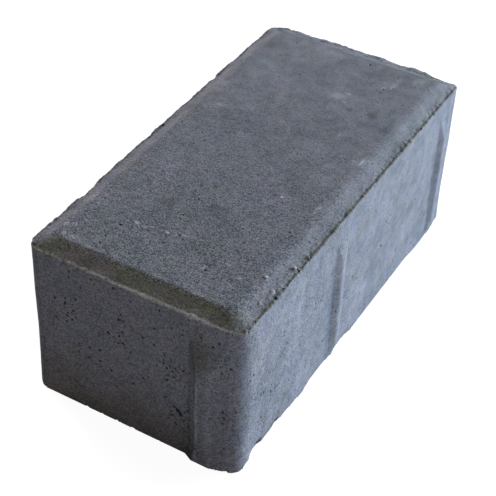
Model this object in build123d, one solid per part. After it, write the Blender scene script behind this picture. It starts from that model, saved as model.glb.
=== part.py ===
from build123d import *
import os

# Rectangular concrete paving stone, cast in one piece. It lies on its flat underside, with
# +Z up. X runs along its short sides and Y along its long sides. The origin is the middle
# of the underside. All sizes are in millimetres.

# Body
body_width = 98.0
body_length = 198.0
body_height = 80.0
corner_radius = 6.0

# Rim round the top face: a narrow flat ledge where the stamp stopped short of the mould
# wall, then a flat bevel up to the top face
rim_ledge = 1.25
bevel_run = 6.75
bevel_drop = 3.4
top_corner_radius = 4.0

# Spacer nibs: low upright ribs that hold the neighbouring stones a joint's width away.
# Seen from outside, each has a steep flank on its left, a rounded crest, a gentle flank on
# its right and a sloping top end. It is open at the underside.
nib_projection = 2.0
nib_crest_radius = 3.0
nib_top_below_rim = 8.6
nib_ramp_length = 18.0

end_nib_steep_flank = 3.5
end_nib_crest = 5.0
end_nib_gentle_flank = 7.0

side_nib_steep_flank = 3.2
side_nib_crest = 1.5
side_nib_gentle_flank = 6.0

# Places of the nibs, seen from outside: from the right-hand end of the wall to the middle of
# the crest, and for the second nib of a long side from the middle of the wall to the left.
# The nibs of two neighbouring stones then never meet.
end_nib_inset = 16.0
side_nib_end_inset = 14.0
side_nib_middle_inset = 17.75

rim_height = body_height - bevel_drop
half_turn = 180
quarter_turn = 90


def body():
    """Straight walls with rounded upright corners, then the ledge and the bevelled top."""
    footprint = RectangleRounded(body_width, body_length, corner_radius)
    walls = extrude(footprint, amount=rim_height)

    ledge_width = body_width - 2 * rim_ledge
    ledge_length = body_length - 2 * rim_ledge
    bevel_foot = RectangleRounded(ledge_width, ledge_length, corner_radius - rim_ledge)
    top_face = RectangleRounded(
        ledge_width - 2 * bevel_run, ledge_length - 2 * bevel_run, top_corner_radius
    )
    crown = loft([Pos(0, 0, rim_height) * bevel_foot, Pos(0, 0, body_height) * top_face])
    return walls + crown


def nib(steep_flank, crest, gentle_flank):
    """One nib on a wall that faces -Y at y = 0, its crest centred on x = 0. It reaches back
    into the body as far as it stands out, so that the two join."""
    left_foot = -crest / 2 - steep_flank
    right_foot = crest / 2 + gentle_flank
    plan = Polygon(
        (left_foot, nib_projection),
        (left_foot, 0),
        (-crest / 2, -nib_projection),
        (crest / 2, -nib_projection),
        (right_foot, 0),
        (right_foot, nib_projection),
        align=None,
    )
    shoulders = plan.vertices().group_by(Axis.Y)[0]
    plan = fillet(shoulders, nib_crest_radius)

    nib_top = rim_height - nib_top_below_rim
    side = Polygon(
        (nib_projection, 0),
        (-nib_projection, 0),
        (-nib_projection, nib_top - nib_ramp_length),
        (0, nib_top),
        (nib_projection, nib_top),
        align=None,
    )
    rib = extrude(plan, amount=nib_top)
    ramp = extrude(Plane.YZ * side, amount=crest + steep_flank + gentle_flank, both=True)
    return rib & ramp


def wall_nibs(wall_distance, places, one_nib):
    """Copies of one nib at their places along a wall that faces -Y."""
    return [Pos(place, -wall_distance, 0) * one_nib for place in places]


def all_nibs():
    """The nibs of the front end and the right side, and the same turned half round."""
    end_nib = nib(end_nib_steep_flank, end_nib_crest, end_nib_gentle_flank)
    end_places = [body_width / 2 - end_nib_inset]
    end_nibs = wall_nibs(body_length / 2, end_places, end_nib)

    side_nib = nib(side_nib_steep_flank, side_nib_crest, side_nib_gentle_flank)
    side_places = [body_length / 2 - side_nib_end_inset, -side_nib_middle_inset]
    side_nibs = wall_nibs(body_width / 2, side_places, side_nib)

    near_half = end_nibs + [Rot(0, 0, quarter_turn) * one for one in side_nibs]
    far_half = [Rot(0, 0, half_turn) * one for one in near_half]
    return near_half + far_half


paving_stone = body()
for one_nib in all_nibs():
    paving_stone = paving_stone + one_nib

os.makedirs("parts", exist_ok=True)
export_step(paving_stone, "parts/paving_stone.step")
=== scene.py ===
import math
import random

import bmesh
import bpy
from mathutils import Matrix, Vector


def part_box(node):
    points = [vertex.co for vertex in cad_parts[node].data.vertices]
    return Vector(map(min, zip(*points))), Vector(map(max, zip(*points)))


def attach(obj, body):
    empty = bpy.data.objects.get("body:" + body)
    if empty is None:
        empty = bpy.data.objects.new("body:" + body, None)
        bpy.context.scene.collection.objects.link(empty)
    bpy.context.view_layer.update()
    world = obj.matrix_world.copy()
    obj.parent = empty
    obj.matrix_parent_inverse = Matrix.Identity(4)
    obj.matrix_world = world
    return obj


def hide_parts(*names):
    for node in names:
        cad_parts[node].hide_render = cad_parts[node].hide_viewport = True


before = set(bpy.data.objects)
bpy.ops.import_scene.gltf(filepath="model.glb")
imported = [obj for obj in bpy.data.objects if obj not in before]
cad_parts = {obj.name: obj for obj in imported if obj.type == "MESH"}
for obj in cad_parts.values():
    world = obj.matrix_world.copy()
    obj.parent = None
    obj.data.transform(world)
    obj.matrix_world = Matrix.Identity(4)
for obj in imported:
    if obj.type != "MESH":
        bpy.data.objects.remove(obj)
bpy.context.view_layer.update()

# Sizes of the stone, in metres. The overall sizes come from the frame. The upright corners are
# nominally alike, but those of this one stone are worn unevenly: front left, front right, back
# right, back left.
mm = 0.001
nib_projection = 2 * mm
stone_low, stone_high = [Vector(corner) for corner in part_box("paving_stone")]
body_width = stone_high.x - stone_low.x - 2 * nib_projection
body_length = stone_high.y - stone_low.y - 2 * nib_projection
body_height = stone_high.z
half_width = body_width / 2
half_length = body_length / 2
corner_radius = 6 * mm
worn_corner_radii = (6 * mm, 6 * mm, 3 * mm, 8 * mm)
corner_steps = 8

# The rim: a flat ledge with a lip on its outer edge, then a bevel. The brow is the bevel's
# upper edge. Its rounding keeps only a share of its size along most of the front.
rim_ledge = 1.25 * mm
rim_lip = 0.4 * mm
rim_lip_height = 0.2 * mm
bevel_run = 6.75 * mm
bevel_drop = 3.4 * mm
rim_height = body_height - bevel_drop
brow_rounding = 2.2 * mm
brow_steps = 4
front_brow_share = 0.35
front_brow_reach = 38 * mm
foot_flare = 0.3 * mm
foot_flare_height = 18 * mm

# Spacer nibs: a steep flank on the left seen from outside, a crest and a gentle flank
nib_top = rim_height - 8.6 * mm
end_nib_ramp = 18 * mm
side_nib_ramp = 12 * mm
nib_root = 2 * mm
nib_crest_rounding = 0.6 * mm
end_nib_shape = (3.5 * mm, 5 * mm, 7 * mm)
end_nib_inset = 16 * mm
side_nib_shape = (3.2 * mm, 1.5 * mm, 6 * mm)
side_nib_end_inset = 14 * mm
side_nib_middle_inset = 17.75 * mm
worn_foot_height = 8 * mm
worn_foot_spread = 3 * mm
worn_crest_spread = 1.5 * mm
end_nib_foot_out = 0.4 * mm
side_nib_foot_out = -0.9 * mm
nib_softening = 8

# The finished mesh
surface_voxel = 0.4 * mm
triangle_budget = 190000
mould_waviness = 0.6 * mm
arris_wander = 1.5 * mm
arris_crumble = 0.6 * mm
surface_middle = 0.42

# Marks of casting at random places: how many of each, and their least and greatest width
casting_seed = 11
small_voids = 150
small_void_width = (0.9 * mm, 1.5 * mm)
rim_chips = 46
rim_chip_width = (0.8 * mm, 2.2 * mm)
foot_chips = 50
foot_chip_width = (1.2 * mm, 3.0 * mm)
rim_crumbs = 60
rim_crumb_width = (0.5 * mm, 1.1 * mm)
lump_roughness = 0.4 * mm
lump_grain = 0.7 * mm

# The larger air voids that show, by face: two places on the face and a width, in millimetres.
# The places are X and Z on the front, Y and Z on the right, X and Y on the top. A void is cut
# somewhat smaller than its dark spot, by this scale.
shown_void_scale = 0.75
front_voids = [
    (-5.0, 58.9, 2.0), (-3.2, 57.0, 1.6), (-7.4, 60.6, 1.5), (-9.0, 51.5, 1.5), (-0.8, 43.9, 1.6),
    (20.0, 15.4, 1.8), (18.4, 15.9, 1.5), (28.5, 36.2, 1.9), (28.4, 33.8, 1.9), (29.6, 34.6, 1.3),
    (32.3, 39.0, 1.4), (33.6, 33.3, 1.6), (34.9, 32.9, 1.3), (32.0, 31.2, 1.4), (37.0, 36.5, 1.3),
    (13.0, 48.0, 1.4), (14.5, 45.8, 1.7), (17.3, 41.4, 1.5), (23.0, 43.5, 1.5), (25.6, 42.0, 1.6),
    (18.0, 65.2, 1.5), (20.4, 57.6, 1.6), (10.8, 55.0, 1.3), (24.6, 30.0, 1.4), (11.0, 17.0, 1.4),
    (41.0, 56.8, 1.6), (43.3, 54.4, 1.3), (41.3, 65.0, 1.3), (40.5, 43.5, 1.5), (45.8, 36.0, 1.6),
    (46.0, 33.5, 1.4), (44.5, 31.0, 1.4), (42.5, 30.4, 1.3), (46.9, 28.0, 1.8), (43.5, 26.5, 1.3),
    (39.8, 12.9, 1.9), (41.5, 10.5, 1.3), (31.7, 20.0, 1.4), (32.3, 7.0, 1.4), (34.8, 6.5, 1.6),
    (-28.9, 21.4, 1.7), (27.7, 14.1, 1.6), (-17.4, 44.5, 1.4), (-34.8, 38.3, 1.5), (8.4, 30.4, 1.5),
]
right_voids = [
    (6.5, 65.5, 1.5), (29.3, 43.3, 2.0), (30.6, 41.6, 1.5), (27.1, 30.9, 2.0), (50.0, 27.8, 1.6),
    (-33.3, 44.5, 1.8), (-30.4, 42.3, 1.6), (-20.6, 33.6, 1.8), (-19.9, 30.4, 2.0), (-16.2, 31.4, 1.7),
    (-15.0, 25.6, 1.8), (-27.6, 16.4, 1.9), (-19.6, 5.2, 1.6), (-6.3, 25.0, 1.6), (0.0, 36.7, 1.5),
    (-2.5, 34.5, 1.7), (-49.4, 32.5, 1.4), (-73.1, 60.3, 1.4), (-66.4, 70.7, 1.6), (-82.5, 52.0, 1.5),
    (-86.4, 33.3, 1.4), (62.8, 33.4, 1.6), (45.6, 15.2, 1.5), (18.6, 27.6, 1.5),
]
top_voids = [
    (23.1, 71.5, 1.6), (32.7, 14.6, 1.6), (15.0, 7.3, 1.5), (-5.1, -53.5, 1.5), (16.4, -37.4, 1.5),
    (26.1, -25.9, 1.4), (-22.6, -72.2, 1.6), (-4.4, -71.4, 1.5), (19.6, -77.1, 1.6), (-21.4, -52.6, 1.4),
    (-36.3, -69.8, 1.5), (42.0, -66.5, 1.8), (25.8, -59.4, 1.4), (29.5, -74.9, 1.4), (43.3, -71.2, 1.4),
]

# One long slanting void on the front: X, Z, length, width and degrees down to the right
front_gash = (21.5, 22.9, 5.4, 2.2, 48)
front_gash_depth = 4 * mm

# Breaks of the rim, in millimetres: X and a width along the front arris, Y and a width along the
# right one
front_rim_breaks = [(-39.6, 1.3), (-37.0, 1.1), (-31.0, 1.8), (-20.5, 1.1), (-11.4, 1.5), (44.5, 1.6)]
right_rim_breaks = [
    (-94.6, 1.8), (-91.5, 1.3), (-87.6, 1.2), (-79.2, 1.5), (-73.8, 1.8), (-68.6, 1.5), (-65.0, 1.3),
    (-58.0, 1.3), (-55.5, 2.0), (-53.2, 2.6), (-46.9, 1.7), (-38.0, 1.2), (-28.0, 1.4), (-20.0, 1.1),
    (-9.0, 1.2), (2.0, 1.1), (12.0, 1.4), (21.0, 1.1), (34.0, 1.5), (45.0, 1.2), (57.0, 1.3), (71.0, 1.4),
]

# Swells of the back rim, in millimetres: X, length and reach beyond the bevel's foot
back_rim_swells = [(3.0, 66.0, 3.5), (26.5, 22.0, 4.2), (-10.0, 6.0, 3.9), (-20.0, 15.0, 2.9)]
back_swell_thickness = 2.2 * mm
back_swell_drop = 0.9 * mm

# Dents and swells of the left rim, in millimetres: Y and length, then a dent's depth or a
# swell's thickness
left_rim_dents = [(-57.0, 14.0, 0.8), (42.0, 6.0, 0.5), (-96.0, 4.0, 1.0)]
left_rim_swells = [(-36.0, 9.0, 1.3), (-6.0, 9.0, 1.5), (48.0, 8.0, 1.1)]
rim_swell_drop = 0.6 * mm

# Pale grains that stand out of the rim and dark pits of the right arris, in millimetres: X, Y, Z
# and a width
rim_grains = [
    (46.9, -55.6, 77.9, 1.6), (46.2, -71.6, 77.5, 1.6), (41.0, -68.0, 79.9, 1.2),
    (47.8, -46.0, 77.2, 1.0), (45.5, -80.0, 78.0, 0.9),
]
rim_pits = [
    (48.0, -54.6, 77.0, 1.7), (48.3, -53.0, 76.8, 1.4), (47.4, -55.9, 77.4, 1.2),
    (48.1, -47.2, 77.0, 1.6), (48.4, -45.6, 76.7, 1.4), (47.2, -70.3, 77.6, 1.3),
    (48.3, -67.0, 76.8, 1.4), (48.4, -73.5, 76.8, 1.5),
]

# Breaks and swells of the right foot, in millimetres: Y and length, then a break's depth or a
# swell's thickness. A break is cut by a blunt lump, mostly outside the wall. Its bluntness is how
# many times its depth it reaches each way, and only this share of its length and height cuts.
right_foot_breaks = [(-71, 48, 1.0), (-82, 14, 2.0), (-66, 12, 1.4), (-30, 26, 0.85), (-8, 18, 0.9)]
right_foot_swells = [(74, 34, 2.6)]
foot_break_height = 12.0
foot_break_bluntness = 4
foot_break_cut = 0.66

# Patches of the walls where the skin is crowded with small voids, in millimetres: X and Z on the
# front or Y and Z on the right, and a reach
front_crowds = [
    (-5, 60, 5), (-7, 48, 8), (17, 44, 8), (30, 35, 8), (45, 32, 9), (21, 20, 8), (33, 7, 6),
    (-28, 52, 7), (-29, 31, 7), (26, 13, 6), (-30, 22, 5), (42, 58, 6), (40, 12, 5),
]
right_crowds = [
    (-66, 42, 9), (-62, 53, 6), (-91, 48, 7), (-84, 33, 7), (-72, 25, 7), (-56, 17, 6), (-20, 31, 6),
    (-35, 45, 6), (-78, 15, 9), (-28, 15, 5), (-48, 50, 5), (28, 42, 7),
]

# The camera, solved from the photograph
image_side = 496
focal_length_px = 1344.8
camera_azimuth = math.radians(28.333)
camera_elevation = math.radians(40.343)
camera_roll = math.radians(2.762)
camera_distance = 621.7 * mm
camera_aim = Vector((-9.33, 10.07, 15.17)) * mm


# Modelling by hand, in code

def take(piece):
    """Makes one piece the only selected one."""
    bpy.ops.object.select_all(action="DESELECT")
    piece.select_set(True)
    bpy.context.view_layer.objects.active = piece


def edit(piece):
    """Opens one piece for editing, with nothing picked."""
    take(piece)
    bpy.ops.object.mode_set(mode="EDIT")
    bpy.ops.mesh.select_all(action="DESELECT")


def done_editing():
    bpy.ops.object.mode_set(mode="OBJECT")


def pick(piece, kind, wanted):
    """Selects the faces, edges or points of the edited piece that a test wants."""
    bpy.ops.mesh.select_mode(type=kind)
    bpy.ops.mesh.select_all(action="DESELECT")
    mesh = bmesh.from_edit_mesh(piece.data)
    members = {"FACE": mesh.faces, "EDGE": mesh.edges, "VERT": mesh.verts}[kind]
    for member in members:
        member.select_set(bool(wanted(member)))
    mesh.select_flush_mode()
    bmesh.update_edit_mesh(piece.data)


def move(by):
    """Moves what is picked."""
    bpy.ops.transform.translate(value=by)


def resize(factors, centre):
    """Resizes what is picked, about a centre."""
    bpy.ops.transform.resize(value=factors, center_override=centre)


def extrude(by):
    """Pulls the picked face out."""
    bpy.ops.mesh.extrude_region_move(TRANSFORM_OT_translate={"value": by})


def cut_level(height):
    """Adds edges all round the edited piece at one height."""
    bpy.ops.mesh.select_all(action="SELECT")
    bpy.ops.mesh.bisect(plane_co=(0, 0, height), plane_no=(0, 0, 1))


def block(name, size, centre):
    """A box at its size and place, with its object at the origin."""
    bpy.ops.object.select_all(action="DESELECT")
    bpy.ops.mesh.primitive_cube_add(size=1, location=centre, scale=size)
    bpy.ops.object.transform_apply(location=True, rotation=True, scale=True)
    piece = bpy.context.active_object
    piece.name = name
    piece.data.name = name
    return piece


def apply_modifier(piece, kind, **values):
    """Adds one modifier to a piece and applies it."""
    take(piece)
    modifier = piece.modifiers.new(kind.lower(), kind)
    for key, value in values.items():
        setattr(modifier, key, value)
    bpy.ops.object.modifier_apply(modifier=modifier.name)


def between(draw, limits):
    """A random size between the limits."""
    return draw.uniform(limits[0], limits[1])


def mostly_small(draw, limits, bias):
    """A random size between the limits, the more often near the lower one the greater the bias."""
    return limits[0] + (limits[1] - limits[0]) * draw.random() ** bias


# The cast body

def make_body():
    """A box with its upright corners worn, then the ledge, the bevel and the flare of the foot."""
    body = block("paving_stone_cast", (body_width, body_length, rim_height), (0, 0, rim_height / 2))
    edit(body)
    corners = ((-1, -1), (1, -1), (1, 1), (-1, 1))
    for (side_x, side_y), radius in zip(corners, worn_corner_radii):
        pick(body, "EDGE", lambda e: all(
            v.co.x * side_x > half_width - corner_radius / 10
            and v.co.y * side_y > half_length - corner_radius / 10 for v in e.verts
        ))
        bpy.ops.mesh.bevel(offset=radius, offset_type="OFFSET", segments=corner_steps, affect="EDGES")
    pick(body, "FACE", lambda f: f.normal.z > 0.9)
    bpy.ops.mesh.inset(thickness=rim_lip, depth=-rim_lip_height)
    bpy.ops.mesh.inset(thickness=rim_ledge - rim_lip, depth=0)
    bevel_rise = bevel_drop + rim_lip_height
    extrude((0, 0, bevel_rise))
    ledge_width = body_width - 2 * rim_ledge
    ledge_length = body_length - 2 * rim_ledge
    shrink = (1 - 2 * bevel_run / ledge_width, 1 - 2 * bevel_run / ledge_length, 1)
    resize(shrink, (0, 0, body_height))
    pick(body, "EDGE", lambda e: all(v.co.z > body_height - bevel_drop / 2 for v in e.verts))
    bpy.ops.mesh.bevel(offset=brow_rounding, offset_type="OFFSET", segments=brow_steps, affect="EDGES")
    brow_y = -half_length + rim_ledge + bevel_run
    pick(body, "VERT", lambda v: v.co.z > body_height - bevel_drop / 2 and (
        v.co.y < brow_y + brow_rounding * 1.1 and abs(v.co.x) < front_brow_reach
    ))
    shrink = (1, front_brow_share, front_brow_share)
    resize(shrink, (0, brow_y, body_height))
    cut_level(foot_flare_height)
    pick(body, "VERT", lambda v: v.co.z < foot_flare_height / 2)
    flare = (1 + 2 * foot_flare / body_width, 1 + 2 * foot_flare / body_length, 1)
    resize(flare, (0, 0, 0))
    done_editing()
    return body


def make_nib(name, shape, nib_ramp, foot_out, place, turn):
    """One spacer nib, modelled against the front wall's plane and then turned to its wall."""
    steep, crest, gentle = shape
    base = steep + crest + gentle
    nib = block(
        name, (base, nib_projection, nib_top), ((gentle - steep) / 2, -nib_projection / 2, nib_top / 2)
    )
    middle = -nib_projection / 2
    taper_centre = (crest * (steep - gentle) / (steep + gentle) / 2, 0, 0)
    edit(nib)
    pick(nib, "VERT", lambda v: v.co.y < middle)
    resize((crest / base, 1, 1), taper_centre)
    pick(nib, "VERT", lambda v: v.co.y < middle and v.co.z > nib_top / 2)
    move((0, 0, -nib_ramp))
    pick(nib, "EDGE", lambda e: all(v.co.y < middle for v in e.verts) and (
        abs(e.verts[0].co.z - e.verts[1].co.z) > nib_top / 2
    ))
    bpy.ops.mesh.bevel(offset=nib_crest_rounding, segments=3, affect="EDGES")
    cut_level(worn_foot_height)
    pick(nib, "VERT", lambda v: v.co.y < middle and v.co.z < worn_foot_height / 2)
    move((0, -foot_out, 0))
    for side in (-1, 1):
        pick(nib, "VERT", lambda v: v.co.y > middle and v.co.z < worn_foot_height / 2 and v.co.x * side > 0)
        move((side * worn_foot_spread, 0, 0))
        pick(nib, "VERT", lambda v: v.co.y < middle and v.co.z < worn_foot_height / 2 and v.co.x * side > 0)
        move((side * worn_crest_spread, 0, 0))
    pick(nib, "FACE", lambda f: f.normal.y > 0.9)
    extrude((0, nib_root, 0))
    bpy.ops.mesh.select_all(action="SELECT")
    move(place)
    done_editing()
    nib.rotation_euler.z = turn
    bpy.ops.object.transform_apply(location=True, rotation=True, scale=True)
    return nib


def make_nibs():
    """One nib on each end and two on each side. The stone turned half round is the same."""
    nibs = []
    quarter = math.pi / 2
    for half in (0, math.pi):
        place = (half_width - end_nib_inset, -half_length, 0)
        nibs.append(make_nib("end_nib", end_nib_shape, end_nib_ramp, end_nib_foot_out, place, half))
        for along in (half_length - side_nib_end_inset, -side_nib_middle_inset):
            place = (along, -half_width, 0)
            turn = half + quarter
            nibs.append(make_nib("side_nib", side_nib_shape, side_nib_ramp, side_nib_foot_out, place, turn))
    return nibs


# Voids, chips and crumbs

def along_rim(way):
    """A point on the body's outline, way metres round from the front left corner, with its
    outward direction."""
    straight_x = body_width - 2 * corner_radius
    straight_y = body_length - 2 * corner_radius
    arc = corner_radius * math.pi / 2
    stretches = [straight_x, arc, straight_y, arc] * 2
    heading = 0
    spot = Vector((-straight_x / 2, -half_length, 0))
    for number, stretch in enumerate(stretches):
        forward = Vector((math.cos(heading), math.sin(heading), 0))
        outward = Vector((forward.y, -forward.x, 0))
        walked = min(way, stretch)
        if number % 2 == 0:
            spot = spot + forward * walked
        else:
            centre = spot - outward * corner_radius
            turned = walked / corner_radius
            outward = Matrix.Rotation(turned, 3, "Z") @ outward
            spot = centre + outward * corner_radius
            heading += turned
        way -= walked
        if way <= 0:
            break
    return spot, outward


def rim_length():
    """The length of the body's outline."""
    straights = 2 * (body_width + body_length - 4 * corner_radius)
    return straights + 2 * math.pi * corner_radius


def lump_mesh(name):
    """An empty piece that lumps are added to in edit mode."""
    mesh = bpy.data.meshes.new(name)
    piece = bpy.data.objects.new(name, mesh)
    bpy.context.scene.collection.objects.link(piece)
    edit(piece)
    return piece


def any_turn(draw):
    """Random turns about X, Y and Z."""
    return draw.uniform(0, math.pi), draw.uniform(0, math.pi), draw.uniform(0, math.pi)


def add_lump(place, size, turn=(0, 0, 0), detail=2):
    """A round lump of the given size along X, Y and Z before its turn."""
    bpy.ops.mesh.primitive_ico_sphere_add(
        subdivisions=detail, radius=0.5, location=place, scale=size, rotation=turn
    )


def roughen(piece, grain, depth):
    """Makes a piece's surface uneven."""
    apply_modifier(
        piece, "DISPLACE", texture=clouds(piece.name + "_roughness", grain), strength=depth,
        mid_level=0.5, texture_coords="LOCAL",
    )


def wall_place(draw):
    """A random place on the walls, more often low down, with its outward direction."""
    spot, outward = along_rim(draw.uniform(0, rim_length()))
    height = draw.uniform(0, rim_height) * draw.uniform(0.4, 1)
    return spot + Vector((0, 0, height)), outward


def top_place(draw):
    """A random place on the top face, with its outward direction."""
    half_x = half_width - bevel_run
    half_y = half_length - bevel_run
    spot = Vector((draw.uniform(-half_x, half_x), draw.uniform(-half_y, half_y), body_height))
    return spot, Vector((0, 0, 1))


def make_voids(draw):
    """The air voids, as lumps to be cut out: the ones that show, the gash, and small ones."""
    voids = lump_mesh("air_voids")
    front_y, right_x = -half_length, half_width
    seen = [((x * mm, front_y, z * mm), (0, -1, 0), width) for x, z, width in front_voids]
    seen += [((right_x, y * mm, z * mm), (1, 0, 0), width) for y, z, width in right_voids]
    seen += [((x * mm, y * mm, body_height), (0, 0, 1), width) for x, y, width in top_voids]
    for place, outward, width in seen:
        size = width * shown_void_scale * mm
        centre = Vector(place) - Vector(outward) * size * draw.uniform(0.0, 0.25)
        sides = [size * between(draw, limits) for limits in ((0.8, 1.4), (1.0, 1.5), (0.7, 1.1))]
        add_lump(centre, sides, any_turn(draw))
    x, z, length, width, slope = front_gash
    sides = (length * mm, front_gash_depth, width * mm)
    add_lump((x * mm, front_y, z * mm), sides, (0, math.radians(slope), 0))
    for number in range(small_voids):
        place, outward = top_place(draw) if number % 4 == 0 else wall_place(draw)
        size = mostly_small(draw, small_void_width, 3)
        centre = place - outward * size * draw.uniform(-0.1, 0.2)
        sides = (size * draw.uniform(0.7, 1.4), size, size * draw.uniform(0.7, 1.1))
        add_lump(centre, sides, any_turn(draw), detail=1)
    done_editing()
    return voids


def make_chips(draw):
    """Breaks of the arrises: the ones that show, and small ones all round the rim and the foot."""
    chips = lump_mesh("rim_chips")
    seen = [(Vector((x * mm, -half_length, rim_height)), width) for x, width in front_rim_breaks]
    seen += [(Vector((half_width, y * mm, rim_height)), width) for y, width in right_rim_breaks]
    seen += [(Vector((x, y, z)) * mm, width) for x, y, z, width in rim_pits]
    for place, width in seen:
        size = width * mm
        add_lump(place - Vector((0, 0, size * 0.1)), (size, size * 1.2, size * 0.8), any_turn(draw))
    for _ in range(rim_chips):
        spot, outward = along_rim(draw.uniform(0, rim_length()))
        long = mostly_small(draw, rim_chip_width, 2)
        deep = long * draw.uniform(0.3, 0.5)
        centre = spot + outward * deep * draw.uniform(0.1, 0.4)
        centre.z = rim_height + draw.uniform(0, 0.4) * deep
        add_lump(centre, (long, long * draw.uniform(0.4, 0.8), deep), any_turn(draw))
    for _ in range(foot_chips):
        spot, outward = along_rim(draw.uniform(0, rim_length()))
        long = between(draw, foot_chip_width)
        deep = long * draw.uniform(0.25, 0.45)
        add_lump(spot + outward * (foot_flare + deep * 0.1), (long, long * 0.7, deep), any_turn(draw))
    for y, length, depth in right_foot_breaks:
        out = half_width + foot_flare + depth * (foot_break_bluntness - 1) * mm
        reach = depth * foot_break_bluntness
        sides = (2 * reach, length / foot_break_cut, foot_break_height / foot_break_cut)
        add_lump((out, y * mm, 0), [side * mm for side in sides], detail=4)
    for y, length, depth in left_rim_dents:
        place = (-half_width, y * mm, rim_height)
        add_lump(place, (depth * 2 * mm, length * mm, depth * 4 * mm), detail=3)
    done_editing()
    return chips


def add_crumbs(body, draw):
    """What stands out of the casting: crumbs all round the rim, the grains that show, and the
    swells of the rim and the foot."""
    edit(body)
    for _ in range(rim_crumbs):
        spot, outward = along_rim(draw.uniform(0, rim_length()))
        size = between(draw, rim_crumb_width)
        centre = spot - outward * (rim_ledge * draw.uniform(0.2, 1.1) + size / 4)
        centre.z = rim_height - rim_lip_height + size * draw.uniform(-0.1, 0.25)
        add_lump(centre, (size, size * draw.uniform(0.6, 1), size * draw.uniform(0.6, 1)), any_turn(draw))
    for x, y, z, width in rim_grains:
        add_lump((x * mm, y * mm, z * mm), (width * mm,) * 3, any_turn(draw))
    for x, length, reach in back_rim_swells:
        place = (x * mm, half_length - rim_ledge, rim_height - back_swell_drop)
        add_lump(place, (length * mm, reach * 2 * mm, back_swell_thickness), detail=4)
    for y, length, thick in left_rim_swells:
        place = (-half_width, y * mm, rim_height - rim_swell_drop)
        add_lump(place, (thick * mm, length * mm, thick * mm), detail=3)
    for y, length, thick in right_foot_swells:
        place = (half_width, y * mm, thick / 2 * mm)
        add_lump(place, (thick * mm, length * mm, thick * mm), detail=4)
    done_editing()


# The finish of the cast surface

def weigh(piece, name, weight_of):
    """A vertex group whose weight is worked out from each point's place."""
    group = piece.vertex_groups.new(name=name)
    bands = {}
    for vertex in piece.data.vertices:
        weight = round(weight_of(vertex.co), 1)
        if weight > 0:
            bands.setdefault(weight, []).append(vertex.index)
    for weight, indices in bands.items():
        group.add(indices, weight, "REPLACE")


def ramp(value, low, high):
    """0 where the value is low and 1 where it is high, in a straight line between."""
    return min(max((value - low) / (high - low), 0), 1)


def off_bed(place):
    """0 on the underside, which stays flat, and 1 from just above it."""
    return ramp(place.z, 0.2 * mm, 1.5 * mm)


def near_rim(place):
    """1 on the arris of the ledge, falling away down the wall and up the bevel."""
    height = ramp(place.z, rim_height - 2.2 * mm, rim_height - 0.4 * mm)
    return height * (1 - ramp(place.z, rim_height + 0.2 * mm, rim_height + 1.0 * mm))


def near_nib(place):
    """1 on the nibs and the wall just beside them, from just above the foot."""
    corner = max(abs(place.x) - half_width, abs(place.y) - half_length)
    out = ramp(corner, -0.1 * mm, 0.05 * mm)
    return out * ramp(place.z, 1.0 * mm, 4.0 * mm) * (1 - ramp(place.z, nib_top, nib_top + 1.5 * mm))


def clouds(name, grain, depth=2):
    """A cloudy texture to displace a surface with."""
    texture = bpy.data.textures.new(name, "CLOUDS")
    texture.noise_scale = grain
    texture.noise_depth = depth
    return texture


def make_stone():
    """The stone as one closed mesh: body and nibs, less the voids and chips, plus the crumbs."""
    draw = random.Random(casting_seed)
    body = make_body()
    for nib in make_nibs():
        apply_modifier(body, "BOOLEAN", operation="UNION", object=nib, solver="EXACT")
        bpy.data.objects.remove(nib)
    for cutter in (make_voids(draw), make_chips(draw)):
        roughen(cutter, lump_grain, lump_roughness)
        apply_modifier(body, "BOOLEAN", operation="DIFFERENCE", object=cutter, solver="EXACT", use_self=True)
        bpy.data.objects.remove(cutter)
    add_crumbs(body, draw)
    voxel = surface_voxel
    apply_modifier(body, "REMESH", mode="VOXEL", voxel_size=voxel)

    weigh(body, "off_bed", off_bed)
    weigh(body, "near_rim", near_rim)
    weigh(body, "near_nib", near_nib)
    apply_modifier(body, "SMOOTH", factor=0.5, iterations=nib_softening, vertex_group="near_nib")
    for texture, strength, group in (
        (clouds("mould_waviness", 28 * mm), mould_waviness, "off_bed"),
        (clouds("arris_wander", 10 * mm), arris_wander, "near_rim"),
        (clouds("arris_crumble", 1.6 * mm, 3), arris_crumble, "near_rim"),
    ):
        apply_modifier(
            body, "DISPLACE", texture=texture, strength=strength, mid_level=surface_middle,
            texture_coords="LOCAL", vertex_group=group,
        )
    triangles = sum(len(face.vertices) - 2 for face in body.data.polygons)
    if triangles > triangle_budget:
        apply_modifier(body, "DECIMATE", decimate_type="COLLAPSE", ratio=triangle_budget / triangles)
    take(body)
    bpy.ops.object.shade_smooth()
    return body


# Shader helpers

def add(tree, kind, inputs=None, **settings):
    """Adds a node. inputs holds a value, or the socket that feeds it, for each named socket."""
    node = tree.nodes.new(kind)
    for key, value in settings.items():
        setattr(node, key, value)
    for key, value in (inputs or {}).items():
        feed(tree, value, node.inputs[key])
    return node


def feed(tree, value, socket):
    """Sets a socket's value, or links it where the value is a socket."""
    if isinstance(value, bpy.types.NodeSocket):
        tree.links.new(value, socket)
    elif socket.type == "RGBA" and len(value) == 3:
        socket.default_value = (*value, 1)
    else:
        socket.default_value = value


def maths(tree, operation, first, second=0.0, third=0.0):
    node = add(tree, "ShaderNodeMath", operation=operation)
    for value, socket in zip((first, second, third), node.inputs):
        feed(tree, value, socket)
    return node.outputs[0]


def vector_maths(tree, operation, first, second=(0, 0, 0)):
    node = add(tree, "ShaderNodeVectorMath", operation=operation)
    feed(tree, first, node.inputs[0])
    feed(tree, second, node.inputs[1])
    return node.outputs[0]


def length_of(tree, vector):
    return add(tree, "ShaderNodeVectorMath", operation="LENGTH", inputs={0: vector}).outputs["Value"]


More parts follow.
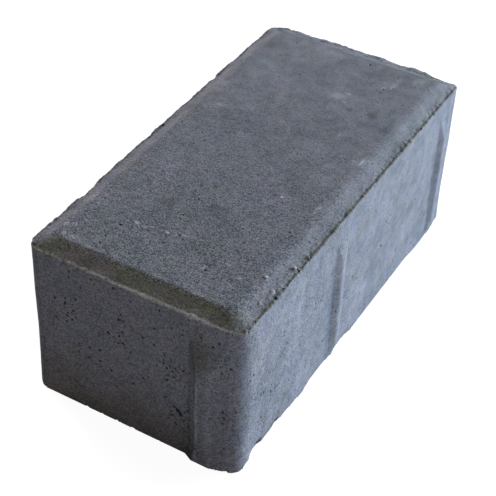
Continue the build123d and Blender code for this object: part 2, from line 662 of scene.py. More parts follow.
def fade(tree, value, low, high, start=0.0, end=1.0):
    """Goes smoothly from start, where the value is low, to end, where it is high."""
    node = add(
        tree, "ShaderNodeMapRange", interpolation_type="SMOOTHSTEP",
        inputs={"Value": value, "From Min": low, "From Max": high, "To Min": start, "To Max": end},
    )
    return node.outputs["Result"]


def blend(tree, share, below, above, way="MIX"):
    """Lays a share of one colour over another."""
    node = add(tree, "ShaderNodeMix", data_type="RGBA", blend_type=way)
    feed(tree, share, node.inputs[0])
    feed(tree, below, node.inputs[6])
    feed(tree, above, node.inputs[7])
    return node.outputs[2]


def shades(tree, colour, factor):
    """A colour made lighter or darker by a factor."""
    node = add(tree, "ShaderNodeVectorMath", operation="SCALE")
    feed(tree, colour, node.inputs[0])
    feed(tree, factor, node.inputs["Scale"])
    return node.outputs[0]


def noise(tree, place, scale, detail, roughness=0.5):
    inputs = {"Vector": place, "Scale": scale, "Detail": detail, "Roughness": roughness}
    return add(tree, "ShaderNodeTexNoise", inputs=inputs)


def scattered_cells(tree, place, scale):
    inputs = {"Vector": place, "Scale": scale, "Randomness": 1.0}
    return add(tree, "ShaderNodeTexVoronoi", feature="F1", inputs=inputs)


def new_group(name, takes, gives):
    """An empty node group with its named sockets, and its two end nodes."""
    group = bpy.data.node_groups.new(name, "ShaderNodeTree")
    for label, kind, value in takes:
        socket = group.interface.new_socket(label, in_out="INPUT", socket_type=kind)
        socket.default_value = value
    for label, kind in gives:
        group.interface.new_socket(label, in_out="OUTPUT", socket_type=kind)
    start = group.nodes.new("NodeGroupInput")
    end = group.nodes.new("NodeGroupOutput")
    return group, start, end


def place_group(tree, group, **inputs):
    """Adds a node group to a material, with its inputs."""
    node = tree.nodes.new("ShaderNodeGroup")
    node.node_tree = group
    for key, value in inputs.items():
        feed(tree, value, node.inputs[key.replace("_", " ")])
    return node


# Effects that more than one finish uses

def sandy_grain_group():
    """The sand of the mix: grains of their own tone, and the fine unevenness between them."""
    group, start, end = new_group(
        "sandy_grain",
        [("Place", "NodeSocketVector", (0, 0, 0)), ("Grain", "NodeSocketFloat", 0.6 * mm)],
        [("Tone", "NodeSocketFloat"), ("Height", "NodeSocketFloat")],
    )
    scale = maths(group, "DIVIDE", 1.0, start.outputs["Grain"])
    grains = scattered_cells(group, start.outputs["Place"], scale)
    fine = noise(group, start.outputs["Place"], scale, 2.0, 0.6)
    own_tone = add(group, "ShaderNodeSeparateColor", inputs={"Color": grains.outputs["Color"]})
    tone = maths(group, "MULTIPLY_ADD", own_tone.outputs["Red"], 0.5, fine.outputs["Fac"])
    group.links.new(maths(group, "SUBTRACT", tone, 0.75), end.inputs["Tone"])
    unevenness = maths(group, "MULTIPLY", fine.outputs["Fac"], 1.5)
    height = maths(group, "SUBTRACT", unevenness, grains.outputs["Distance"])
    group.links.new(height, end.inputs["Height"])
    return group


def scattered_spots_group():
    """Ragged round spots of uneven size, strewn about: open pores or pale sand grains."""
    group, start, end = new_group(
        "scattered_spots",
        [
            ("Place", "NodeSocketVector", (0, 0, 0)), ("Spacing", "NodeSocketFloat", 4 * mm),
            ("Size", "NodeSocketFloat", 0.3), ("Share", "NodeSocketFloat", 0.5),
            ("Raggedness", "NodeSocketFloat", 0.3), ("Core", "NodeSocketFloat", 0.55),
        ],
        [("Mask", "NodeSocketFloat")],
    )
    scale = maths(group, "DIVIDE", 1.0, start.outputs["Spacing"])
    finer = maths(group, "MULTIPLY", scale, 3.0)
    warp = noise(group, start.outputs["Place"], finer, 2.0)
    push = vector_maths(group, "SUBTRACT", warp.outputs["Color"], (0.5, 0.5, 0.5))
    reach = maths(group, "MULTIPLY", start.outputs["Raggedness"], start.outputs["Spacing"])
    moved = vector_maths(group, "ADD", start.outputs["Place"], shades(group, push, reach))
    cells = scattered_cells(group, moved, scale)
    chance = add(group, "ShaderNodeSeparateColor", inputs={"Color": cells.outputs["Color"]})
    present = maths(group, "LESS_THAN", chance.outputs["Red"], start.outputs["Share"])
    share_of_size = maths(group, "MULTIPLY_ADD", chance.outputs["Green"], 0.7, 0.3)
    own_size = maths(group, "MULTIPLY", start.outputs["Size"], share_of_size)
    core = maths(group, "MULTIPLY", own_size, start.outputs["Core"])
    spot = fade(group, cells.outputs["Distance"], core, own_size, 1.0, 0.0)
    group.links.new(maths(group, "MULTIPLY", spot, present), end.inputs["Mask"])
    return group


def cloudy_tone_group():
    """Slow, soft changes of tone, and of the red and the blue by themselves, from -1 to 1."""
    group, start, end = new_group(
        "cloudy_tone",
        [("Place", "NodeSocketVector", (0, 0, 0)), ("Size", "NodeSocketFloat", 20 * mm)],
        [("Tone", "NodeSocketFloat"), ("Hue", "NodeSocketVector")],
    )
    scale = maths(group, "DIVIDE", 1.0, start.outputs["Size"])
    soft = noise(group, start.outputs["Place"], scale, 3.0, 0.55)
    tone = maths(group, "MULTIPLY", maths(group, "SUBTRACT", soft.outputs["Fac"], 0.5), 4.0)
    group.links.new(tone, end.inputs["Tone"])
    hue = vector_maths(group, "SUBTRACT", soft.outputs["Color"], (0.5, 0.5, 0.5))
    group.links.new(vector_maths(group, "MULTIPLY", hue, (3.4, 0, 5.2)), end.inputs["Hue"])
    return group


def smudge_group():
    """One soft patch round a centre, reaching so far along X, Y and Z. Ragged moves its edge."""
    group, start, end = new_group(
        "smudge",
        [
            ("Place", "NodeSocketVector", (0, 0, 0)), ("Centre", "NodeSocketVector", (0, 0, 0)),
            ("Reach", "NodeSocketVector", (1, 1, 1)), ("Ragged", "NodeSocketFloat", 0.0),
        ],
        [("Mask", "NodeSocketFloat")],
    )
    away = vector_maths(group, "SUBTRACT", start.outputs["Place"], start.outputs["Centre"])
    away = vector_maths(group, "DIVIDE", away, start.outputs["Reach"])
    distance = maths(group, "ADD", length_of(group, away), start.outputs["Ragged"])
    group.links.new(fade(group, distance, 0.35, 1.0, 1.0, 0.0), end.inputs["Mask"])
    return group


def inside_walls_group():
    """How far a place lies inside the body's upright walls, up to the corner radius."""
    group, start, end = new_group(
        "inside_walls", [("Place", "NodeSocketVector", (0, 0, 0))], [("Distance", "NodeSocketFloat")],
    )
    level = vector_maths(group, "MULTIPLY", start.outputs["Place"], (1, 1, 0))
    level = vector_maths(group, "ABSOLUTE", level)
    corner_centre = (half_width - corner_radius, half_length - corner_radius, 0)
    past = vector_maths(group, "SUBTRACT", level, corner_centre)
    past = vector_maths(group, "MAXIMUM", past, (0, 0, 0))
    distance = maths(group, "SUBTRACT", corner_radius, length_of(group, past))
    group.links.new(distance, end.inputs["Distance"])
    return group


effects = {}


def make_effects():
    """The shared effects, made once for all finishes."""
    effects["grain"] = sandy_grain_group()
    effects["spots"] = scattered_spots_group()
    effects["clouds"] = cloudy_tone_group()
    effects["smudge"] = smudge_group()
    effects["inside"] = inside_walls_group()


# Finishes. Colours are the dry concrete's own, save the painted light and shade noted below, and
# heights are in millimetres.
face_grey = (0.178, 0.190, 0.228)
face_green = (0.160, 0.188, 0.212)
face_purple = (0.192, 0.182, 0.226)
wall_grey = (0.176, 0.196, 0.246)
wall_purple = (0.198, 0.193, 0.246)
wall_blot = (0.105, 0.122, 0.160)
flank_shade = (0.100, 0.138, 0.195)
bed_grey = (0.172, 0.182, 0.215)
# The near-black grey below is painted shade in pores, pits, the gash and hollows, and the tone of the top
# face's dark patches.
pore_shade_and_patch_grey = (0.026, 0.027, 0.030)
sand_grey = (0.320, 0.325, 0.350)
pale_sand = (0.68, 0.67, 0.66)
bloom_and_highlight_pale = (0.37, 0.38, 0.43)
bloom_blue = (0.40, 0.42, 0.48)
film_olive = (0.228, 0.242, 0.202)
film_purple = (0.252, 0.240, 0.244)
corner_film = (0.236, 0.240, 0.232)
ledge_dust_and_highlight = (0.42, 0.43, 0.45)
ledge_brown = (0.180, 0.165, 0.150)
ledge_green = (0.135, 0.146, 0.130)
front_foot_dark = (0.115, 0.108, 0.100)
nib_ramp_dark_olive = (0.105, 0.110, 0.092)

# Tints, which multiply the colour of a part. The right and left bevel tints are painted light; the
# back bevel, brow and crest tints are painted shade, with painted light at the bevel's foot; the front
# wall tint is a painted warm light; the nib flank and front corner tints are painted shade. The right
# bevel also has two drifts of hue, each with a size.
back_tint = (1.12, 1.12, 1.13)
right_bevel_painted_light = (1.06, 1.05, 1.03)
right_bevel_drifts = ((7 * mm, (1.04, 0.99, 0.97)), (9 * mm, (0.95, 0.99, 1.01)))
left_bevel_painted_light = (1.12, 1.13, 1.18)
back_bevel_painted_shade = (0.73, 0.73, 0.73)
back_brow_painted_shade = (0.80, 0.79, 0.78)
back_crest_painted_shade = (0.78, 0.77, 0.76)
back_bevel_foot_painted_light = (1.4, 1.38, 1.34)
front_wall_painted_warm_light = (1.04, 0.985, 0.955)
nib_flank_painted_shade = (0.76, 0.76, 0.78)
front_corner_painted_shade = (0.68, 0.69, 0.71)


class Finish:
    """One finish of the concrete while it is built up: its colour, and its relief in millimetres."""

    def __init__(self, name, colour, grain, sharpness, mottling, bevel_share, relief_depth, roughness):
        self.material = bpy.data.materials.new(name)
        self.material.use_nodes = True
        self.tree = self.material.node_tree
        self.shader = self.tree.nodes["Principled BSDF"]
        self.shader.inputs["Specular IOR Level"].default_value = 0.35
        self.shader.inputs["Roughness"].default_value = roughness
        self.place = add(self.tree, "ShaderNodeTexCoord").outputs["Object"]
        parts = add(self.tree, "ShaderNodeSeparateXYZ", inputs={"Vector": self.place})
        self.x, self.y, self.z = parts.outputs["X"], parts.outputs["Y"], parts.outputs["Z"]
        self.inside = self.effect("inside").outputs["Distance"]
        self.ragged = maths(self.tree, "MULTIPLY", self.slow_tone(3 * mm), 0.3)

        # The skin is rougher and more open at the front end, and closer at the back. The bevels
        # keep only a share of the grain.
        self.towards_back = self.fade(self.y, -half_length, half_length)
        on_top = self.fade(self.z, body_height - 1.6 * mm, body_height - 0.5 * mm, bevel_share, 1.0)
        sharpness = self.both(self.along(*sharpness), on_top)
        self.mottling = self.along(*mottling)
        fine = self.effect("grain", Grain=grain)
        coarse = self.effect("grain", Grain=grain * 2.6)
        grains = maths(self.tree, "MULTIPLY_ADD", coarse.outputs["Tone"], 0.15, fine.outputs["Tone"])
        self.tone = maths(self.tree, "MULTIPLY_ADD", grains, sharpness, 1.0)
        self.vary(self.place, 5 * mm, 0.085)
        self.vary(self.place, 11 * mm, 0.09)
        self.vary(self.place, 30 * mm, 0.05)
        relief = maths(self.tree, "ADD", fine.outputs["Height"], coarse.outputs["Height"])
        self.height = self.both(relief, self.both(sharpness, relief_depth))
        self.colour = colour

    def along(self, front, near, far):
        """A value for the front end, another just behind it, and from that slowly to the back's."""
        end = -half_length
        value = self.fade(self.y, end, -end, near, far)
        extra = self.fade(self.y, end + 1 * mm, end + 5 * mm, front - near, 0.0)
        return maths(self.tree, "ADD", value, extra)

    def effect(self, effect_name, **inputs):
        inputs.setdefault("Place", self.place)
        return place_group(self.tree, effects[effect_name], **inputs)

    def slow_tone(self, size):
        """Soft clouds of this size, from -1 to 1."""
        return self.effect("clouds", Size=size).outputs["Tone"]

    def vary(self, place, size, strength):
        """Slow changes of tone."""
        slow = self.effect("clouds", Place=place, Size=size).outputs["Tone"]
        share = maths(self.tree, "MULTIPLY", self.mottling, strength)
        self.tone = maths(self.tree, "MULTIPLY_ADD", slow, share, self.tone)

    def colour_mottle(self, size, strength):
        """Slow changes of the red and the blue by themselves."""
        slow = self.effect("clouds", Size=size).outputs["Hue"]
        factors = vector_maths(self.tree, "ADD", shades(self.tree, slow, strength), (1, 1, 1))
        self.colour = vector_maths(self.tree, "MULTIPLY", self.colour, factors)

    def drift(self, size, share, colour):
        """Slow drifts towards another colour, before the sand's tone is laid over them."""
        drifts = self.fade(self.slow_tone(size), -0.3, 1.2, 0.0, share)
        self.colour = blend(self.tree, drifts, self.colour, colour)

    def paint(self):
        """Lays the sand's tone over the colour."""
        self.colour = shades(self.tree, self.colour, self.tone)

    def both(self, first, second):
        """Where both masks hold: their product."""
        return maths(self.tree, "MULTIPLY", first, second)

    def fade(self, value, low, high, start=0.0, end=1.0):
        return fade(self.tree, value, low, high, start, end)

    def cover(self, mask, share, colour, grained=True):
        """Covers the masked part with a share of another colour, which keeps the sand's tone."""
        over = shades(self.tree, colour, self.tone) if grained else colour
        self.colour = blend(self.tree, self.both(mask, share), self.colour, over)

    def crowds(self, places, sparse, dense):
        """A share that is sparse, and dense inside any of the patches."""
        crowd = 0.0
        for centre, reach in places:
            crowd = maths(self.tree, "MAXIMUM", crowd, self.patch(centre, reach))
        patchy = self.fade(self.slow_tone(14 * mm), 0.0, 1.6, 0.0, 0.7)
        return self.fade(maths(self.tree, "MAXIMUM", crowd, patchy), 0.0, 1.0, sparse, dense)

    def open_pores(self, spacing, size, share, depth, far=0.3):
        """Small open pores, fainter towards the back: a dip in the relief, and a dark that is painted shade
        in their hollows.
        """
        pores = self.effect("spots", Spacing=spacing, Size=size, Share=share).outputs["Mask"]
        strength = maths(self.tree, "MULTIPLY_ADD", self.towards_back, far - 1, 1.0)
        self.cover(pores, strength, pore_shade_and_patch_grey, grained=False)
        self.height = maths(self.tree, "MULTIPLY_ADD", pores, -depth, self.height)

    def pale_grains(self, spacing, size, share, strength, colour, far=0.3):
        """Pale grains of sand that lie open, fainter towards the back."""
        grains = self.effect("spots", Spacing=spacing, Size=size, Share=share, Raggedness=0.1)
        shown = maths(self.tree, "MULTIPLY_ADD", self.towards_back, strength * (far - 1), strength)
        self.cover(grains.outputs["Mask"], shown, colour, grained=False)

    def blots(self, spacing, size, share, strength, colour):
        """Soft ragged dark blots, where small voids lie close under the skin."""
        blots = self.effect("spots", Spacing=spacing, Size=size, Share=share, Raggedness=0.7, Core=0.0)
        self.cover(blots.outputs["Mask"], strength, colour)

    def patch(self, centre, reach):
        """The mask of one soft patch, its centre and reach in millimetres."""
        patch = self.effect(
            "smudge", Centre=[v * mm for v in centre], Reach=[v * mm for v in reach], Ragged=self.ragged,
        )
        return patch.outputs["Mask"]

    def smudge(self, centre, reach, share, colour):
        """Covers one soft patch with a share of another colour."""
        self.cover(self.patch(centre, reach), share, colour)

    def bevel(self, out, half_out, beside, half_beside, softness=2 * mm, past=0.0):
        """The mask of one side's bevel, mitred at its corners. out grows towards that side. past
        takes the mask some way onto the top face."""
        edge = maths(self.tree, "SUBTRACT", half_out, out)
        neighbour = maths(self.tree, "SUBTRACT", half_beside, maths(self.tree, "ABSOLUTE", beside))
        width = rim_ledge + bevel_run
        bevelled = self.fade(edge, width + past - softness, width + past + softness / 2, 1.0, 0.0)
        mitred = self.fade(maths(self.tree, "SUBTRACT", neighbour, edge), -0.8 * mm, 0.8 * mm)
        return self.both(bevelled, mitred)

    def tint(self, mask, factors):
        """Multiplies the masked part's colour."""
        self.colour = blend(self.tree, mask, self.colour, factors, "MULTIPLY")

    def close(self):
        """Feeds the colour and the relief to the shader."""
        bump = add(
            self.tree, "ShaderNodeBump",
            inputs={"Strength": 1.0, "Distance": mm, "Height": self.height},
        )
        self.tree.links.new(bump.outputs["Normal"], self.shader.inputs["Normal"])
        self.tree.links.new(self.colour, self.shader.inputs["Base Color"])
        return self.material


# Pale bloom and bluer scuffs on the top face, in millimetres: X and Y, reach along X and Y, and a
# share. Specks have one reach, and dark patches have no share.
face_blooms = [
    (-43.5, -62, 3, 5, 0.5), (20, -47, 2.5, 2.5, 0.4),
    (38.5, -21, 1.2, 7, 0.6), (39.5, 17, 1.0, 5, 1.0), (37.5, 14, 3, 4, 0.4), (22.6, 72.5, 1.2, 1.4, 0.9),
    (26, 76, 1.0, 4, 0.6), (9, 55, 6, 5, 0.4), (11, 60, 2.5, 1.0, 0.6), (13, 53, 2.0, 1.0, 0.5),
    (-40, 33, 4, 8, 0.4), (-33, 20, 3, 3, 0.3), (35, 86, 5, 8, 0.3), (26, 79, 2.5, 6, 0.4),
    (27, -90.5, 6, 0.8, 0.7), (-24, -89.5, 7, 0.8, 0.4), (6, -89.8, 5, 0.7, 0.4), (22, 30, 1.5, 4, 0.3),
]
face_scuffs = [
    (-40.5, -82.5, 2.5, 1.2, 0.9), (-37.8, -81, 1.6, 1.0, 0.6), (-38.5, -88, 2.0, 1.4, 0.5),
    (-34.4, -88, 2.5, 1.0, 0.4), (-17.6, -67.2, 1.4, 1.0, 0.8), (-14.1, -67.8, 1.5, 0.6, 0.5),
    (-4.4, -65.9, 0.9, 0.7, 0.7), (-11.3, -66.5, 1.6, 1.2, 0.4), (1.8, -64.1, 2.0, 1.4, 0.5),
    (25.2, -69.8, 2.0, 0.7, 0.5), (18.6, -76.3, 1.2, 2.0, 0.4), (27.3, -50.5, 0.8, 1.6, 0.5),
]
face_specks = [
    (-4.8, -17, 0.8), (22.3, -22, 0.9), (12.5, 39, 0.6), (33.2, -74.1, 0.8), (41.3, -61.8, 0.6),
]
face_darks = [
    (28, 50, 3, 3), (17.5, 49, 2, 2), (23, 68.5, 1.6, 1.4),
    (-26, 14, 2.5, 2), (-14, -50, 5, 5), (6, -44, 6, 6),
]
face_mark_depth = 3

# Painted shade in the gash of the front: dark spots, in millimetres: X and Z
gash_shade_spots = [(20.2, 24.4), (21.5, 22.9), (22.8, 21.4)]

# Shade on the steep flanks of the right side's nibs, in millimetres: Y, reach, height and a share
flank_shades = [(-22.6, 2.4, 50, 0.6), (-19, 2.5, 50, 0.1), (83.5, 3.5, 60, 0.2), (88.6, 4.0, 70, 0.65)]

# The front and the right wall's places, in millimetres
front_wall = -half_length / mm
right_wall = half_width / mm


def mark_face(face):
    """The pale and dark marks that this stone's top face shows."""
    top = body_height / mm
    for places, colour in ((face_blooms, bloom_and_highlight_pale), (face_scuffs, bloom_blue)):
        for x, y, reach_x, reach_y, share in places:
            face.smudge((x, y, top), (reach_x, reach_y, face_mark_depth), share, colour)
    for x, y, reach_x, reach_y in face_darks:
        face.smudge((x, y, top), (reach_x, reach_y, face_mark_depth), 0.3, pore_shade_and_patch_grey)
    for x, y, reach in face_specks:
        face.smudge((x, y, top), (reach, reach, reach), 0.5, pale_sand)


def tint_bevels(face):
    """The bevels' tones: painted light on the right and the left bevels, painted shade on the back bevel
    with painted light at its foot, the right bevel's own drifts of hue, and the pale skin of the front
    right corner."""
    right = face.bevel(face.x, half_width, face.y, half_length, past=2 * mm)
    # Painted light on the right bevel and its brow; the drifts after it are changes of hue
    face.tint(right, right_bevel_painted_light)
    for size, factors in right_bevel_drifts:
        face.tint(face.both(right, face.fade(face.slow_tone(size), 0.0, 0.8)), factors)
    # Painted light on the left bevel
    leftwards = maths(face.tree, "MULTIPLY", face.x, -1.0)
    face.tint(face.bevel(leftwards, half_width, face.y, half_length), left_bevel_painted_light)

    # Painted shade on the back bevel, its brow and its crest, where the key lamp lights them, and painted
    # light at its foot, where the swells cast shadow
    back = face.bevel(face.y, half_length, face.x, half_width, past=2 * mm)
    face.tint(back, back_bevel_painted_shade)
    from_back = maths(face.tree, "SUBTRACT", half_length, face.y)
    brow = face.fade(from_back, 3.5 * mm, 5 * mm)
    face.tint(face.both(back, brow), back_brow_painted_shade)
    crest = face.both(face.fade(from_back, 5 * mm, 6.5 * mm, 1.0, 0.0), back)
    crest = face.both(crest, face.fade(from_back, 2.4 * mm, 3.4 * mm))
    face.tint(crest, back_crest_painted_shade)
    bevel_foot = face.fade(from_back, 1.8 * mm, 2.6 * mm, 1.0, 0.0)
    face.tint(face.both(back, bevel_foot), back_bevel_foot_painted_light)
    face.smudge((44.5, -91, 78.5), (6, 7, 5), 0.45, corner_film)


def film_front_bevel(face, left_of_corner):
    """The olive film of dirt and cement on the front bevel, with a purplish stretch."""
    forwards = maths(face.tree, "MULTIPLY", face.y, -1.0)
    front = face.bevel(forwards, half_length, face.x, half_width, softness=0.4 * mm, past=-0.2 * mm)
    front = face.both(front, left_of_corner)
    stretch = face.patch((-22, -95, 78), (17, 12, 12))
    film = blend(face.tree, stretch, film_olive, film_purple)
    hue = face.fade(face.slow_tone(7 * mm), -0.4, 0.8, 0.0, 0.4)
    film = blend(face.tree, hue, film, film_purple)
    patchy = face.fade(face.slow_tone(5 * mm), -1.6, 0.6, 0.6, 1.0)
    face.cover(face.both(front, patchy), 0.95, film)


def soil_and_shade_ledge(face):
    """A film on the ledge and just above it, most on the right side: partly grime and partly painted
    shade of the groove behind the lip. Also dark pits: painted shade in pits along the ledge and in the
    right arris's pits.
    """
    right_side = face.fade(face.x, 0.0, 30 * mm, 0.45, 1.0)
    ahead_of_back = face.fade(face.y, half_length - 6 * mm, half_length - 2 * mm, 1.0, 0.15)
    share = face.both(right_side, ahead_of_back)
    grime_and_shade = face.slow_tone(2.5 * mm)
    hue = face.fade(face.slow_tone(9 * mm), -0.6, 0.6)
    film = blend(face.tree, hue, ledge_green, ledge_brown)
    # Partly grime, partly painted shade of the groove behind the lip
    above_ledge = face.fade(face.inside, rim_ledge, rim_ledge + 1.8 * mm, 1.0, 0.0)
    face.cover(face.both(above_ledge, face.fade(grime_and_shade, -0.2, 1.2, 0.0, 0.6)), share, film)
    ledge = face.fade(face.inside, rim_ledge - 0.3 * mm, rim_ledge + 0.15 * mm, 1.0, 0.0)
    face.cover(face.both(ledge, face.fade(grime_and_shade, -0.9, 0.5, 0.25, 1.0)), share, film)
    # Painted shade in small pits along the ledge and in the cut pits of the right arris
    pits = face.effect("spots", Spacing=2.0 * mm, Size=0.42, Share=0.55).outputs["Mask"]
    near_ledge = face.fade(face.inside, rim_ledge, rim_ledge + 0.6 * mm, 1.0, 0.0)
    face.cover(face.both(face.both(pits, near_ledge), share), 0.85, pore_shade_and_patch_grey, grained=False)
    for x, y, z, width in rim_pits:
        face.smudge((x, y, z), (width * 0.75,) * 3, 0.9, pore_shade_and_patch_grey)


def bare_front_ledge(face, left_of_corner):
    """The pale ledge along the front, fainter at the left, partly pale dust and partly a painted
    highlight of the lip, and the pale grains of the rim.
    """
    front_end = face.fade(face.y, -half_length + 2 * mm, -half_length + 4 * mm, 1.0, 0.0)
    front_end = face.both(front_end, face.fade(face.x, -46 * mm, -4 * mm, 0.15, 1.0))
    front_end = face.both(front_end, left_of_corner)
    # Partly pale dust, partly a painted highlight along the front ledge
    ledge = face.fade(face.inside, rim_ledge, rim_ledge + 0.4 * mm, 1.0, 0.0)
    face.cover(face.both(ledge, front_end), 0.95, ledge_dust_and_highlight)
    for x, y, z, width in rim_grains:
        face.smudge((x, y, z), (width * 0.8,) * 3, 0.95, pale_sand)


def face_finish():
    """The stamped top face, its bevels and the ledge: open sandy skin, pale sand and bloom, with painted
    light and shade on the bevels and the ledge.
    """
    face = Finish(
        "stamped_face_concrete", face_grey, grain=0.52 * mm, sharpness=(2.3, 2.3, 0.45),
        mottling=(1.1, 1.1, 2.4), bevel_share=0.65, relief_depth=0.035, roughness=0.92,
    )
    face.drift(22 * mm, 0.55, face_green)
    face.drift(15 * mm, 0.5, face_purple)
    face.colour_mottle(11 * mm, 0.05)
    face.paint()
    face.tint(face.towards_back, back_tint)
    crowded = face.crowds([], 0.25, 0.75)
    face.open_pores(1.3 * mm, 0.38, crowded, 0.2)
    face.open_pores(3.4 * mm, 0.20, crowded, 0.3)
    face.open_pores(5.0 * mm, 0.17, crowded, 0.3, far=0.5)
    face.pale_grains(1.2 * mm, 0.34, 0.40, 0.6, sand_grey)
    face.pale_grains(9 * mm, 0.05, 0.35, 0.8, pale_sand, far=0.6)
    mark_face(face)
    tint_bevels(face)
    left_of_corner = face.fade(face.x, 38 * mm, 46 * mm, 1.0, 0.3)
    film_front_bevel(face, left_of_corner)
    soil_and_shade_ledge(face)
    bare_front_ledge(face, left_of_corner)
    return face.close()


def open_wall_skin(wall):
    """Dark blots under the skin, open pores, most of them in crowds, and pale grains."""
    wall.blots(5.0 * mm, 0.6, 0.5, 0.5, wall_blot)
    wall.blots(2.2 * mm, 0.6, 0.4, 0.45, wall_blot)
    places = [((x, front_wall, z), (reach, 5, reach)) for x, z, reach in front_crowds]
    places += [((right_wall, y, z), (5, reach, reach)) for y, z, reach in right_crowds]
    crowded = wall.crowds(places, 0.18, 0.95)
    wall.open_pores(1.5 * mm, 0.44, crowded, 0.25)
    wall.open_pores(2.6 * mm, 0.32, crowded, 0.4)
    wall.pale_grains(1.5 * mm, 0.30, 0.35, 0.5, sand_grey)


def stain_and_shade_front(wall):
    """The front wall: a darker, browner foot left of the nib, painted warm light over the whole front, a
    dark olive patch on the nib's ramp, painted shade on its gentle flank and on the front right corner,
    and a pale crease on the nib, partly worn and partly a painted highlight, with painted light on its
    steep flank."""
    # Darker and browner towards the foot of the front wall, left of the nib
    rise = maths(wall.tree, "MULTIPLY_ADD", wall.slow_tone(12 * mm), 5 * mm, wall.z)
    foot = wall.fade(rise, 0.0, 40 * mm, 1.0, 0.0)
    at_front = wall.fade(wall.y, -half_length + 1 * mm, -half_length + 3 * mm, 1.0, 0.0)
    left_of_nib = wall.fade(wall.x, 24 * mm, 31 * mm, 1.0, 0.3)
    wall.cover(wall.both(foot, wall.both(at_front, left_of_nib)), 0.75, front_foot_dark)
    # Painted warm light over the front wall, standing in for a warmer front lamp
    wall.tint(at_front, front_wall_painted_warm_light)
    # A dark olive patch over the nib's top ramp
    wall.smudge((31.0, -100, 60), (6.5, 5, 13), 0.7, nib_ramp_dark_olive)
    # Painted shade on the nib's gentle flank
    wall.tint(wall.patch((40.0, -100, 28), (5.0, 5, 45)), nib_flank_painted_shade)
    # Painted shade on the front right corner, where the wall turns towards the right
    wall.tint(wall.patch((47.5, -96, 38), (4.6, 8.5, 110)), front_corner_painted_shade)
    # Painted light on the nib's steep flank, and a pale crease down its crest and at its foot, partly worn
    # and partly a painted highlight
    wall.smudge((28.6, -100, 26), (1.8, 3, 30), 0.3, bloom_and_highlight_pale)
    wall.smudge((30.9, -101, 26), (1.0, 3, 30), 0.6, bloom_and_highlight_pale)
    wall.smudge((31.0, -101.5, 3.0), (2.0, 6, 1.4), 0.5, bloom_and_highlight_pale)


def wall_finish():
    """The moulded walls and nibs: a closer skin with air voids, upright drag marks and stains, with
    painted shade on the nibs' flanks, in the gash and in the hollows below the rim.
    """
    wall = Finish(
        "moulded_wall_concrete", wall_grey, grain=0.52 * mm, sharpness=(1.6, 1.5, 0.3),
        mottling=(0.85, 2.0, 2.0), bevel_share=1.0, relief_depth=0.05, roughness=0.88,
    )
    wall.drift(15 * mm, 0.4, wall_purple)
    wall.colour_mottle(11 * mm, 0.06)
    upright = vector_maths(wall.tree, "MULTIPLY", wall.place, (1, 1, 0.07))
    wall.vary(upright, 2.5 * mm, 0.012)
    wall.vary(wall.place, 14 * mm, 0.04)
    wall.paint()
    open_wall_skin(wall)
    stain_and_shade_front(wall)
    for y, reach, height, share in flank_shades:
        wall.smudge((right_wall + 1, y, height / 2), (4, reach, height), share, flank_shade)
    # Painted shade: dark spots in the gash cut into the front
    for x, z in gash_shade_spots:
        wall.smudge((x, front_wall, z), (1.4, 5, 1.4), 0.9, pore_shade_and_patch_grey)
    # Painted shade in the hollows of voids, chips and breaks that lie inside the walls, below the rim
    hollow = wall.fade(wall.inside, 0.5 * mm, 1.0 * mm, 0.0, 1.0)
    below_rim = wall.fade(wall.z, rim_height - 1.5 * mm, rim_height - 0.8 * mm, 1.0, 0.0)
    wall.cover(wall.both(hollow, below_rim), 0.8, pore_shade_and_patch_grey, grained=False)
    return wall.close()


def bed_finish():
    """The underside: coarser, drier and full of open voids."""
    bed = Finish(
        "bed_face_concrete", bed_grey, grain=0.9 * mm, sharpness=(1.1, 1.1, 1.1),
        mottling=(1, 1, 1), bevel_share=1.0, relief_depth=0.12, roughness=0.95,
    )
    bed.paint()
    bed.open_pores(2.6 * mm, 0.36, 0.5, 0.5, far=1.0)
    bed.open_pores(7 * mm, 0.22, 0.5, 0.9, far=1.0)
    return bed.close()


def finish_stone(stone):
    """The walls' finish all over, then the top face, bevels and ledge, and the underside."""
    make_effects()
    for material in (wall_finish(), face_finish(), bed_finish()):
        stone.data.materials.append(material)
    edit(stone)
    for slot, wanted in (
        (1, lambda f: f.calc_center_median().z > rim_height - 0.6 * mm and f.normal.z > 0.35),
        (2, lambda f: f.calc_center_median().z < 0.3 * mm and f.normal.z < -0.7),
    ):
        pick(stone, "FACE", wanted)
        stone.active_material_index = slot
        bpy.ops.object.material_slot_assign()
    done_editing()


# Camera, floor and light

def make_camera():
    """The camera at the place, aim, roll and lens of the photograph's."""
    data = bpy.data.cameras.new("camera")
    camera = bpy.data.objects.new("camera", data)
    bpy.context.scene.collection.objects.link(camera)
    bpy.context.scene.camera = camera
    data.sensor_width = 36
    data.lens = focal_length_px / image_side * data.sensor_width
    data.clip_start = 10 * mm
    data.clip_end = 100
    back = Vector((
        math.sin(camera_azimuth) * math.cos(camera_elevation),
        -math.cos(camera_azimuth) * math.cos(camera_elevation),
        math.sin(camera_elevation),
    ))
    right = Vector((math.cos(camera_azimuth), math.sin(camera_azimuth), 0))
    up = back.cross(right)
    rolled_right = right * math.cos(camera_roll) + up * math.sin(camera_roll)
    rolled_up = up * math.cos(camera_roll) - right * math.sin(camera_roll)
    turn = Matrix((rolled_right, rolled_up, back)).transposed()
    camera.matrix_world = Matrix.Translation(camera_aim + back * camera_distance) @ turn.to_4x4()


floor_size = 6
floor_tone = 0.8
floor_glow = 0.94
floor_shadow_share = 0.24


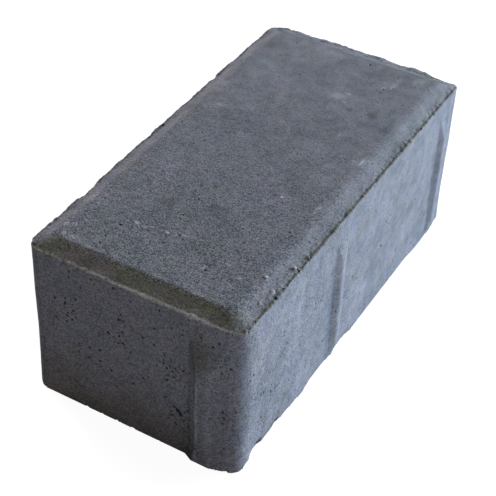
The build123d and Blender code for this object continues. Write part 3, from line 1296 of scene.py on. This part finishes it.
def make_floor():
    """A pale floor that reads as white to the camera and keeps the stone's soft shadow."""
    bpy.ops.object.select_all(action="DESELECT")
    bpy.ops.mesh.primitive_plane_add(size=floor_size, location=(0, 0, 0))
    floor = bpy.context.active_object
    floor.name = "floor"
    material = bpy.data.materials.new("pale_floor")
    material.use_nodes = True
    tree = material.node_tree
    shader = tree.nodes["Principled BSDF"]
    shader.inputs["Base Color"].default_value = (floor_tone, floor_tone, floor_tone, 1)
    shader.inputs["Roughness"].default_value = 0.9
    seen = add(tree, "ShaderNodeBsdfDiffuse", inputs={"Color": (floor_shadow_share,) * 3})
    glow = add(tree, "ShaderNodeEmission", inputs={"Color": (1, 1, 1), "Strength": floor_glow})
    lit = add(tree, "ShaderNodeAddShader", inputs={0: seen.outputs["BSDF"], 1: glow.outputs["Emission"]})
    path = add(tree, "ShaderNodeLightPath")
    mix = add(tree, "ShaderNodeMixShader", inputs={
        0: path.outputs["Is Camera Ray"], 1: shader.outputs["BSDF"], 2: lit.outputs["Shader"],
    })
    tree.links.new(mix.outputs["Shader"], tree.nodes["Material Output"].inputs["Surface"])
    floor.data.materials.append(material)


lamp_distance = 1.3
lamp_height = 0.7
world_strength = 0.04


def soft_lamp(name, azimuth, elevation, strength, colour, width=lamp_height):
    """A soft lamp, azimuth degrees round from +X towards +Y. At a strength of 1 a white face
    turned to it shows as white."""
    data = bpy.data.lights.new(name, "AREA")
    data.shape = "ELLIPSE"
    data.size = width
    data.size_y = lamp_height
    data.energy = strength * (math.pi * lamp_distance) ** 2
    data.color = colour
    lamp = bpy.data.objects.new(name, data)
    bpy.context.scene.collection.objects.link(lamp)
    level = math.cos(math.radians(elevation))
    way = Vector((
        math.cos(math.radians(azimuth)) * level,
        math.sin(math.radians(azimuth)) * level,
        math.sin(math.radians(elevation)),
    ))
    lamp.location = way * lamp_distance
    lamp.rotation_mode = "QUATERNION"
    lamp.rotation_quaternion = way.to_track_quat("Z", "Y")


def make_light():
    """A broad key lamp from behind on the right, two weaker lamps, and a faint white sky."""
    blue, warm, front_warm = (0.80, 0.92, 1.0), (1.0, 0.93, 0.88), (1.0, 0.94, 0.90)
    soft_lamp("key_lamp", azimuth=56, elevation=14, strength=2.15, colour=blue, width=1.8)
    soft_lamp("side_lamp", azimuth=160, elevation=22, strength=0.82, colour=warm)
    soft_lamp("front_lamp", azimuth=340, elevation=8, strength=0.46, colour=front_warm)
    world = bpy.data.worlds.new("world")
    bpy.context.scene.world = world
    world.use_nodes = True
    tree = world.node_tree
    path = add(tree, "ShaderNodeLightPath")
    strength = fade(tree, path.outputs["Is Camera Ray"], 0.0, 1.0, world_strength, 1.0)
    tree.nodes["Background"].inputs["Color"].default_value = (1, 1, 1, 1)
    tree.links.new(strength, tree.nodes["Background"].inputs["Strength"])


make_camera()
make_floor()
make_light()
bpy.context.scene.view_settings.view_transform = "Standard"

stone = make_stone()
finish_stone(stone)
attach(stone, "root")
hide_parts("paving_stone")
